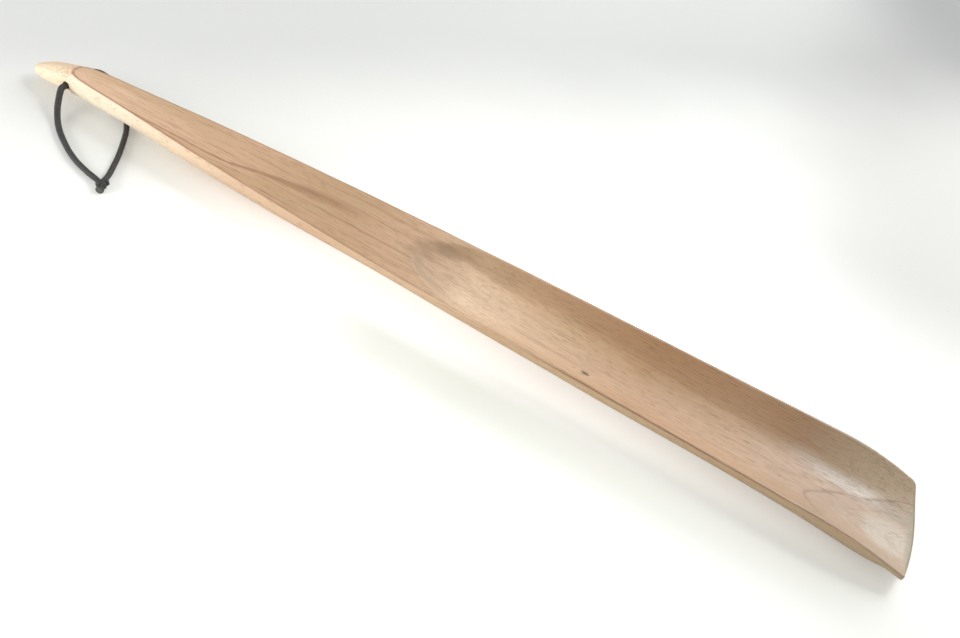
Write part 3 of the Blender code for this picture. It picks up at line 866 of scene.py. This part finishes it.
colour = wood.mix(wood.product(inside, 0.45), colour, tone(186, 158, 131))
brown = wood.patch(along, across, (0.3335, 0.0075), (0.0125, 0.0050), wobble, 0.7)
brown = wood.product(wood.fit(brown, 0.2, 1.1, 0.64, 0.0), inside)
colour = wood.mix(brown, colour, tone(150, 130, 100))
pale = wood.patch(along, across, (0.3340, -0.0045), (0.0105, 0.0095), wobble, 0.9)
pale = wood.product(wood.fit(pale, 0.2, 1.1, 0.72, 0.0), inside)
colour = wood.mix(pale, colour, tone(208, 198, 180))

# A painted highlight: the soft sheen along the blade's hollow, put in the colour
sheen_line = wood.curve(
    along,
    (0.28, 0.34),
    WITHIN_WIDTH,
    (
        (0.28, 0.0106),
        (0.290, 0.0100),
        (0.2993, 0.0093),
        (0.3114, 0.0080),
        (0.3175, 0.0079),
        (0.3241, 0.0081),
        (0.34, 0.0084),
    ),
)
off_line = wood.math("ABSOLUTE", wood.math("SUBTRACT", across, sheen_line))
sheen = wood.product(
    wood.fit(off_line, 0.0, 0.0046, 0.70, 0.0),
    wood.fit(along, 0.288, 0.316, 0.0, 1.0),
    wood.fit(along, 0.321, 0.334, 1.0, 0.10),
)
colour = wood.mix(sheen, colour, tone(242, 232, 224))

# The pointed growth line, drawn over the sheen
line_width = wood.fit(across, -0.008, 0.003, 0.0010, 0.0020)
growth_line = wood.product(
    wood.fit(wood.math("ABSOLUTE", past), 0.0, line_width, 1.0, 0.0),
    wood.fit(across, -0.017, -0.012, 0.15, 1.0),
    0.50,
)
colour = wood.mix(growth_line, colour, tone(132, 100, 76))

# Curved grain inside the point of the growth lines
bent = wood.node("ShaderNodeCombineXYZ")
wood.feed(bent.inputs[0], wood.product(past, 700.0))
wood.feed(bent.inputs[1], wood.product(across, 110.0))
rings_seen = wood.noise(bent.outputs[0], 1.0, 3.0, 0.6, 0.8)
rings_seen = wood.product(
    wood.fit(rings_seen, 0.48, 0.66, 0.0, 0.22), wood.fit(past, 0.006, 0.014)
)
colour = wood.mix(rings_seen, colour, tone(146, 116, 90))

# Pores, fibres, the curl at the far corner and the pin knot
pore_mask = wood.fit(pores, 0.58, 0.68)
pore_share = wood.product(
    wood.fit(along, 0.285, 0.315, 0.42, 0.26),
    wood.fit(in_scoop, 0.0, 1.0, 1.0, 0.6),
    wood.fit(along, 0.03, 0.12, 0.65, 1.0),
)
colour = wood.mix(wood.product(pore_mask, pore_share), colour, tone(120, 84, 54))
fibres = wood.product(
    wood.fit(fine, 0.35, 0.72, 0.0, 0.33), wood.fit(in_scoop, 0.0, 1.0, 1.0, 0.5)
)
colour = wood.mix(fibres, colour, tone(156, 116, 80))
curl = wood.grain(place, (420, 900, 900), 3.7, 3.0, 0.6, 1.6)
curl = wood.product(
    wood.fit(curl, 0.50, 0.66, 0.0, 0.34),
    wood.fit(along, 0.300, 0.322),
    wood.fit(across, 0.004, 0.010),
)
colour = wood.mix(curl, colour, tone(118, 92, 66))
pin = wood.patch(along, across, (0.2231, -0.0089), (0.0016, 0.00115), wobble, 0.4)
colour = wood.mix(wood.fit(pin, 0.3, 1.4, 0.92, 0.0), colour, tone(100, 62, 28))

# The outer sides: paler at the nose, partly sapwood and partly painted light where the lamp
# falls on the near side; olive brown under the blade's rim, partly painted shade where the side
# turns down
sides = wood.ramp(
    wood.fit(along, 0.0, LENGTH, smooth=False),
    (
        (0.02, tone(255, 234, 202)),
        (0.07, tone(254, 240, 214)),
        (0.11, tone(251, 236, 210)),
        (0.16, tone(246, 227, 199)),
        (0.21, tone(238, 210, 181)),
        (0.26, tone(227, 195, 165)),
        (0.36, tone(220, 186, 154)),
        (0.48, tone(230, 197, 164)),
        (0.65, tone(216, 187, 152)),
        (0.82, tone(196, 168, 136)),
        (0.99, tone(178, 160, 132)),
    ),
)
side_bands = wood.product(
    wood.fit(bands, 0.48, 0.68, 0.0, 0.50), wood.fit(along, 0.06, 0.14, 0.06, 1.0)
)
sides = wood.mix(side_bands, sides, tone(196, 150, 110))
flecks = wood.grain(place, (700, 1900, 1900), 6.1, 3.0, 0.6)
near_arch = wood.patch(along, across, (0.0158, -0.0012), (0.0060, 0.0046), wobble, 1.0)
torn = wood.product(
    wood.fit(flecks, 0.45, 0.62),
    wood.fit(near_arch, 0.2, 1.2, 0.62, 0.10),
    wood.fit(along, 0.005, 0.013, 0.30, 1.0),
)
sides = wood.mix(torn, sides, tone(206, 150, 100))
# On the far side of the nose the sides turn a plain tan, without the near side's painted light
far_dome = wood.product(
    wood.fit(across, -0.0030, 0.0020), wood.fit(along, 0.010, 0.075, 0.8, 0.0)
)
sides = wood.mix(far_dome, sides, tone(226, 192, 160))
sides = wood.mix(wood.product(pore_mask, 0.35), sides, tone(160, 112, 74))
colour = wood.mix(face_mark, sides, colour)

# The dark line along the arrises, and the edge of the blade
line_share = wood.product(
    wood.fit(along, 0.155, 0.170, 1.0, 0.0), wood.fit(along, 0.06, 0.12, 0.85, 0.45)
)
line_share = wood.product(
    wood.math("ADD", line_share, wood.fit(along, 0.195, 0.225, 0.0, 0.75)),
    wood.fit(ragged, 0.30, 0.55, 0.60, 1.0),
    wood.fit(along, 0.300, 0.325, 1.0, 0.40),
)
line_tone = wood.ramp(along, ((0.08, tone(156, 100, 70)), (0.20, tone(112, 76, 48))))
colour = wood.mix(wood.product(line_mark, line_share), colour, line_tone)
lip_mark = wood.fit(along, 0.3390, 0.3416, 0.0, 0.70)
colour = wood.mix(lip_mark, colour, tone(154, 146, 118))

# The satin finish, glossier at the blade's end, with pores and fibres in relief
satin = wood.fit(along, 0.27, 0.30, 0.46, 0.33)
gloss_change = wood.fit(fine, 0.3, 0.8, -0.03, 0.08)
height = wood.math("MULTIPLY_ADD", pore_mask, -1.0, wood.product(fine, 0.6))
height = wood.math("MULTIPLY_ADD", streaks, 0.4, height)
wood.feed(wood.surface.inputs["Base Color"], colour)
wood.feed(wood.surface.inputs["Roughness"], wood.math("ADD", satin, gloss_change))
wood.relief(height, 0.30, 0.0002)
wood.dress(horn)

# Leather
# Black lace, matt and slightly dusty, with a fine uneven grain all over it and a lighter raw
# core at its cut ends.
leather = Shader("lace_leather")
place = leather.node("ShaderNodeTexCoord").outputs["Object"]
dust = leather.noise(place, 900.0, 4.0, 0.6)
colour = leather.ramp(
    dust, ((0.35, tone(44, 44, 45)), (0.60, tone(66, 65, 64)), (0.8, tone(92, 90, 87)))
)
raw_core = leather.fit(leather.mark("cut_end"), 0.2, 1.0, 0.0, 0.6)
colour = leather.mix(raw_core, colour, tone(106, 105, 102))
leather.feed(leather.surface.inputs["Base Color"], colour)
leather.feed(leather.surface.inputs["Roughness"], leather.fit(dust, 0.3, 0.8, 0.50, 0.78))
leather.relief(leather.noise(place, 2600.0, 5.0, 0.65), 0.35, 0.00012)
leather.dress(near_strand, far_strand, bore_lace, knot, *tails)

# Floor
# A wide pale sheet, greyer far behind, that keeps the horn's shadow. It is darker behind the
# blade, and a yellowish strip in front of the horn is painted shadow that deepens the cast
# shadow. It glows a little for the camera alone, as an overexposed sheet does.
sheet = bmesh.new()
bmesh.ops.create_grid(sheet, x_segments=8, y_segments=8, size=3.0)
sheet_data = bpy.data.meshes.new("floor")
sheet.to_mesh(sheet_data)
sheet.free()
floor = link("floor", sheet_data)
floor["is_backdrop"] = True
paper = Shader("paper")
place = paper.node("ShaderNodeTexCoord").outputs["Object"]
split = paper.node("ShaderNodeSeparateXYZ")
paper.feed(split.inputs[0], place)
x, y = split.outputs[0], split.outputs[1]
folds = paper.math("SUBTRACT", paper.grain(place, (3.2, 5.0, 1.0), 0.0, 3.0, 0.5), 0.5)
back = paper.math("MULTIPLY_ADD", x, -1.1, y)
back = paper.math("MULTIPLY_ADD", folds, 0.10, back)
right = paper.math("MULTIPLY_ADD", x, 0.83, y)
grey = paper.product(paper.fit(back, 0.07, 0.24), paper.fit(x, -0.06, 0.06, 0.46, 0.56))
grey = paper.math("ADD", grey, paper.fit(right, 0.45, 0.62, 0.0, 0.22))
fibre = paper.noise(place, 900.0, 3.0, 0.5)
shade = paper.ramp(fibre, ((0.3, tone(244, 245, 241)), (0.7, tone(247, 248, 244))))
shade = paper.mix(grey, shade, tone(150, 152, 156))
dim = paper.product(paper.fit(x, 0.03, 0.14, 0.0, 0.33), paper.fit(y, 0.05, 0.16))
shade = paper.mix(dim, shade, tone(30, 30, 34))
soft = paper.math("MULTIPLY_ADD", folds, 0.020, y)
# Painted shadow: a yellowish strip in front of the horn that deepens its cast shadow
painted_shadow_strip = paper.product(
    paper.fit(soft, -0.031, -0.018, 1.0, 0.0),
    paper.fit(soft, -0.061, -0.036),
    paper.fit(x, -0.06, -0.01),
    paper.fit(x, 0.02, 0.17, 0.37, 0.08, smooth=False),
)
shade = paper.mix(painted_shadow_strip, shade, tone(110, 110, 30))
paper.feed(paper.surface.inputs["Base Color"], shade)
paper.feed(paper.surface.inputs["Roughness"], 0.9)
paper.feed(paper.surface.inputs["Specular IOR Level"], 0.1)

# The sheet's glow, for the camera alone. It is stronger towards the nose and just in front of
# the near rim: painted light that lightens the horn's shadow there.
seen = paper.node("ShaderNodeLightPath").outputs["Is Camera Ray"]
lift = paper.product(
    paper.fit(x, 0.0, 0.155, 0.42, 0.04, smooth=False), paper.fit(back, 0.03, 0.12, 1.0, 0.0)
)
# Painted light: a little more glow just in front of the near rim
painted_bounce = paper.product(paper.fit(soft, -0.040, -0.026, 0.0, 0.045), paper.fit(x, 0.03, 0.08))
lift = paper.math("ADD", paper.math("ADD", lift, painted_bounce), 0.17)
lit = paper.math("SUBTRACT", 1.0, paper.math("ADD", dim, painted_shadow_strip))
glow = paper.product(lift, paper.fit(grey, 0.0, 1.0, 1.0, 0.4), lit)
paper.feed(paper.surface.inputs["Emission Color"], (1.0, 1.0, 0.985, 1))
paper.feed(paper.surface.inputs["Emission Strength"], paper.product(seen, glow))
paper.dress(floor)

# Lamps and world
# Soft daylight: a wide window low behind, a smaller lamp behind to the right that adds gloss
# inside the blade, and a third in front to the left that lights the nose's side.
for label, spot, aim, width, power in (
    ("window", (0.25, 0.95, 0.56), (0.05, 0.0, 0.0), 1.0, 8.8),
    ("sheen", (0.363, 0.454, 0.758), (0.139, 0.006, 0.004), 0.20, 1.6),
    ("left_front", (-0.42, -0.42, 0.16), (-0.12, 0.0, 0.0), 0.30, 2.2),
):
    lamp_data = bpy.data.lights.new(label, "AREA")
    lamp_data.size = width
    lamp_data.energy = power
    lamp = link(label, lamp_data)
    lamp.location = spot
    lamp.rotation_euler = (Vector(aim) - Vector(spot)).to_track_quat("-Z", "Y").to_euler()
world = bpy.data.worlds.new("surround")
bpy.context.scene.world = world
world.use_nodes = True
surround = world.node_tree.nodes["Background"]
surround.inputs["Color"].default_value = (0.99, 1.0, 0.97, 1)
surround.inputs["Strength"].default_value = 0.45
bpy.context.scene.view_settings.view_transform = "Standard"

low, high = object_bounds()
